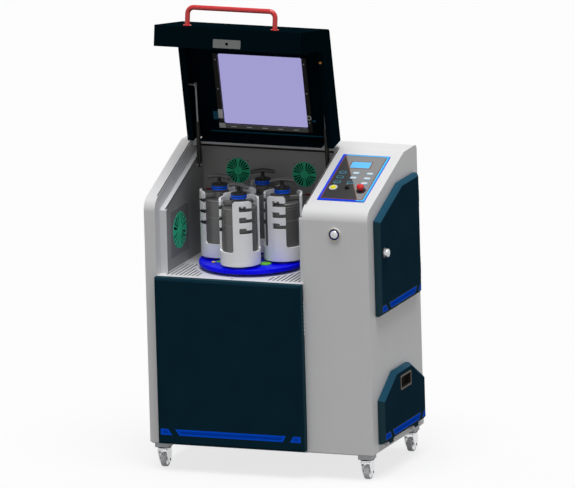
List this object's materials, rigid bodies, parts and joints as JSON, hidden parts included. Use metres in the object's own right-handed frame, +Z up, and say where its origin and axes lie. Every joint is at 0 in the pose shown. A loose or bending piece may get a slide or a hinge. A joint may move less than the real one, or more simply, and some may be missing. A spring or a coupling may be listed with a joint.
{
  "type": "planetary ball mill",
  "caption": "Floor-standing planetary mill: slotted holders with clamped jars on a turning disc under a windowed lid, in a wheeled cabinet with a control column.",
  "frame": {"origin": "middle of the footprint's bounding box, on the floor", "axes": "+Z up, the front with the loading mouth faces -Y, the control column is at +X"},
  "size_m": [0.9872, 0.6046, 1.8608],
  "materials": {
    "shell_paint": "satin powder coat",
    "deck_paint": "satin powder coat",
    "chamber_paint": "satin powder coat",
    "panel_navy": "smooth powder coat",
    "lid_navy": "smooth powder coat",
    "lid_glass": "clear, lightly tinted",
    "handle_red": "gloss paint",
    "disc_blue": "gloss paint",
    "holder_steel": "brushed",
    "jar_steel": "fine brushed, dark",
    "knob_blue": "gloss",
    "fan_green": "matte",
    "chrome": "polished",
    "belt_rubber": "matte",
    "machine_iron": "as cast",
    "gear_steel": "machined",
    "frame_paint": "satin paint",
    "inverter_case": "fine texture",
    "panel_plate": "printed face",
    "button_yellow": "gloss",
    "knob_black": "matte",
    "stop_red": "gloss",
    "strut_black": "satin paint",
    "caster_metal": "zinc plated",
    "caster_tread": "smooth"
  },
  "bodies": {
    "cabinet": {"base_frame": "frame_paint", "left_shell": "shell_paint", "right_shell": "shell_paint", "rear_panel": "shell_paint", "rear_rail": "shell_paint", "deck": "deck_paint", "chamber_rear_wall": "chamber_paint", "chamber_left_wall": "chamber_paint", "chamber_right_wall": "chamber_paint", "front_panel": "panel_navy", "bearing_housing": "machine_iron", "sun_gear": "gear_steel", "drive_motor": "machine_iron", "drive_belt": "belt_rubber", "inverter": "inverter_case", "control_panel": "panel_plate"},
    "rotor": {"main_shaft": "gear_steel", "rotor_disc": "disc_blue"},
    "jar_set_1": {"jar_holder_1": "holder_steel", "jar_1": "jar_steel", "jar_cover_1": "jar_steel"},
    "screw_1": {"clamp_screw_1": "knob_blue"},
    "jar_set_2": {"jar_holder_2": "holder_steel", "jar_2": "jar_steel", "jar_cover_2": "jar_steel"},
    "screw_2": {"clamp_screw_2": "knob_blue"},
    "jar_set_3": {"jar_holder_3": "holder_steel", "jar_3": "jar_steel", "jar_cover_3": "jar_steel"},
    "screw_3": {"clamp_screw_3": "knob_blue"},
    "jar_set_4": {"jar_holder_4": "holder_steel", "jar_4": "jar_steel", "jar_cover_4": "jar_steel"},
    "screw_4": {"clamp_screw_4": "knob_blue"},
    "motor_pulley": {"motor_pulley": "machine_iron"},
    "lid": {"lid_shell": "lid_navy", "lid_window": "lid_glass", "lid_handle": "handle_red"},
    "cylinder_left": {"strut_cylinder_left": "strut_black"},
    "rod_left": {"strut_rod_left": "chrome"},
    "cylinder_right": {"strut_cylinder_right": "strut_black"},
    "rod_right": {"strut_rod_right": "chrome"},
    "fan_1": {"fan_impeller_1": "fan_green"},
    "fan_2": {"fan_impeller_2": "fan_green"},
    "fan_3": {"fan_impeller_3": "fan_green"},
    "start_button": {"start_button": "button_yellow"},
    "selector": {"selector_knob": "knob_black"},
    "emergency_stop": {"emergency_stop": "stop_red"},
    "power_button": {"power_button": "chrome"},
    "service_door": {"service_door": "panel_navy"},
    "door_knob": {"door_knob": "chrome"},
    "lower_hatch": {"lower_hatch": "panel_navy"},
    "fork_1": {"caster_fork_1": "caster_metal"},
    "wheel_1": {"caster_wheel_1": "caster_tread"},
    "fork_2": {"caster_fork_2": "caster_metal"},
    "wheel_2": {"caster_wheel_2": "caster_tread"},
    "fork_3": {"caster_fork_3": "caster_metal"},
    "wheel_3": {"caster_wheel_3": "caster_tread"},
    "fork_4": {"caster_fork_4": "caster_metal"},
    "wheel_4": {"caster_wheel_4": "caster_tread"}
  },
  "joints": [
    {"name": "disc_spin", "type": "hinge", "parent": "cabinet", "child": "rotor", "pos_m": [-0.138, -0.0087, 0.808], "axis": [0, 0, 1], "continuous": true},
    {"name": "jar_spin_1", "type": "hinge", "parent": "rotor", "child": "jar_set_1", "pos_m": [-0.138, -0.1407, 0.825], "axis": [0, 0, 1], "continuous": true},
    {"name": "screw_turn_1", "type": "hinge", "parent": "jar_set_1", "child": "screw_1", "pos_m": [-0.138, -0.1407, 1.078], "axis": [0, 0, 1], "range_deg": [-360, 360]},
    {"name": "jar_spin_2", "type": "hinge", "parent": "rotor", "child": "jar_set_2", "pos_m": [-0.006, -0.0087, 0.825], "axis": [0, 0, 1], "continuous": true},
    {"name": "screw_turn_2", "type": "hinge", "parent": "jar_set_2", "child": "screw_2", "pos_m": [-0.006, -0.0087, 1.078], "axis": [0, 0, 1], "range_deg": [-360, 360]},
    {"name": "jar_spin_3", "type": "hinge", "parent": "rotor", "child": "jar_set_3", "pos_m": [-0.138, 0.1233, 0.825], "axis": [0, 0, 1], "continuous": true},
    {"name": "screw_turn_3", "type": "hinge", "parent": "jar_set_3", "child": "screw_3", "pos_m": [-0.138, 0.1233, 1.078], "axis": [0, 0, 1], "range_deg": [-360, 360]},
    {"name": "jar_spin_4", "type": "hinge", "parent": "rotor", "child": "jar_set_4", "pos_m": [-0.27, -0.0087, 0.825], "axis": [0, 0, 1], "continuous": true},
    {"name": "screw_turn_4", "type": "hinge", "parent": "jar_set_4", "child": "screw_4", "pos_m": [-0.27, -0.0087, 1.078], "axis": [0, 0, 1], "range_deg": [-360, 360]},
    {"name": "pulley_spin", "type": "hinge", "parent": "cabinet", "child": "motor_pulley", "pos_m": [-0.36, -0.0087, 0.638], "axis": [0, 0, 1], "continuous": true},
    {"name": "lid_hinge", "type": "hinge", "parent": "cabinet", "child": "lid", "pos_m": [-0.138, 0.1633, 1.249], "axis": [1, 0, 0], "range_deg": [0, 99.5]},
    {"name": "cylinder_turn_left", "type": "hinge", "parent": "cabinet", "child": "cylinder_left", "pos_m": [-0.40885, 0.1403, 1.143], "axis": [1, 0, 0], "range_deg": [0, 79.18]},
    {"name": "rod_slide_left", "type": "slide", "parent": "cylinder_left", "child": "rod_left", "axis": [0, -0.0745, 0.9972], "range_m": [-0.13979, 0]},
    {"name": "cylinder_turn_right", "type": "hinge", "parent": "cabinet", "child": "cylinder_right", "pos_m": [0.13285, 0.1403, 1.143], "axis": [1, 0, 0], "range_deg": [0, 79.18]},
    {"name": "rod_slide_right", "type": "slide", "parent": "cylinder_right", "child": "rod_right", "axis": [0, -0.0745, 0.9972], "range_m": [-0.13979, 0]},
    {"name": "fan_spin_1", "type": "hinge", "parent": "cabinet", "child": "fan_1", "pos_m": [-0.278, 0.2283, 1.111], "axis": [0, 1, 0], "continuous": true},
    {"name": "fan_spin_2", "type": "hinge", "parent": "cabinet", "child": "fan_2", "pos_m": [0.002, 0.2283, 1.111], "axis": [0, 1, 0], "continuous": true},
    {"name": "fan_spin_3", "type": "hinge", "parent": "cabinet", "child": "fan_3", "pos_m": [-0.43665, -0.0647, 0.923], "axis": [1, 0, 0], "continuous": true},
    {"name": "start_press", "type": "slide", "parent": "cabinet", "child": "start_button", "axis": [0, 0.3502, -0.9367], "range_m": [0, 0.003], "stiffness_N_per_m": 800, "springref_m": -0.002},
    {"name": "selector_turn", "type": "hinge", "parent": "cabinet", "child": "selector", "pos_m": [0.30635, -0.10475, 1.14382], "axis": [0, -0.3502, 0.9367], "range_deg": [-45, 45]},
    {"name": "stop_press", "type": "slide", "parent": "cabinet", "child": "emergency_stop", "axis": [0, 0.3502, -0.9367], "range_m": [0, 0.005]},
    {"name": "power_press", "type": "slide", "parent": "cabinet", "child": "power_button", "axis": [0, 1, 0], "range_m": [0, 0.003], "stiffness_N_per_m": 800, "springref_m": -0.002},
    {"name": "door_hinge", "type": "hinge", "parent": "cabinet", "child": "service_door", "pos_m": [0.45985, 0.2623, 0.895], "axis": [0, 0, 1], "range_deg": [0, 110]},
    {"name": "door_knob_turn", "type": "hinge", "parent": "service_door", "child": "door_knob", "pos_m": [0.47335, -0.1557, 0.904], "axis": [1, 0, 0], "range_deg": [0, 90]},
    {"name": "hatch_hinge", "type": "hinge", "parent": "cabinet", "child": "lower_hatch", "pos_m": [0.45985, 0.0303, 0.13], "axis": [0, 1, 0], "range_deg": [0, 60]},
    {"name": "caster_swivel_1", "type": "hinge", "parent": "cabinet", "child": "fork_1", "pos_m": [-0.45165, -0.2227, 0.082], "axis": [0, 0, 1], "continuous": true},
    {"name": "wheel_roll_1", "type": "hinge", "parent": "fork_1", "child": "wheel_1", "pos_m": [-0.45165, -0.2127, 0.029], "axis": [1, 0, 0], "continuous": true},
    {"name": "caster_swivel_2", "type": "hinge", "parent": "cabinet", "child": "fork_2", "pos_m": [0.40435, -0.2227, 0.082], "axis": [0, 0, 1], "continuous": true},
    {"name": "wheel_roll_2", "type": "hinge", "parent": "fork_2", "child": "wheel_2", "pos_m": [0.40435, -0.2127, 0.029], "axis": [1, 0, 0], "continuous": true},
    {"name": "caster_swivel_3", "type": "hinge", "parent": "cabinet", "child": "fork_3", "pos_m": [-0.45165, 0.2603, 0.082], "axis": [0, 0, 1], "continuous": true},
    {"name": "wheel_roll_3", "type": "hinge", "parent": "fork_3", "child": "wheel_3", "pos_m": [-0.45165, 0.2703, 0.029], "axis": [1, 0, 0], "continuous": true},
    {"name": "caster_swivel_4", "type": "hinge", "parent": "cabinet", "child": "fork_4", "pos_m": [0.40435, 0.2603, 0.082], "axis": [0, 0, 1], "continuous": true},
    {"name": "wheel_roll_4", "type": "hinge", "parent": "fork_4", "child": "wheel_4", "pos_m": [0.40435, 0.2703, 0.029], "axis": [1, 0, 0], "continuous": true}
  ],
  "couplings": [
    {"joint": "jar_spin_1", "follows": "disc_spin", "ratio": 2},
    {"joint": "jar_spin_2", "follows": "disc_spin", "ratio": 2},
    {"joint": "jar_spin_3", "follows": "disc_spin", "ratio": 2},
    {"joint": "jar_spin_4", "follows": "disc_spin", "ratio": 2},
    {"joint": "pulley_spin", "follows": "disc_spin", "ratio": 2.1811},
    {"joint": "cylinder_turn_left", "follows": "lid_hinge", "ratio": 0.79528},
    {"joint": "rod_slide_left", "follows": "lid_hinge", "m_per_rad": -0.080382},
    {"joint": "cylinder_turn_right", "follows": "lid_hinge", "ratio": 0.79528},
    {"joint": "rod_slide_right", "follows": "lid_hinge", "m_per_rad": -0.080382}
  ]
}
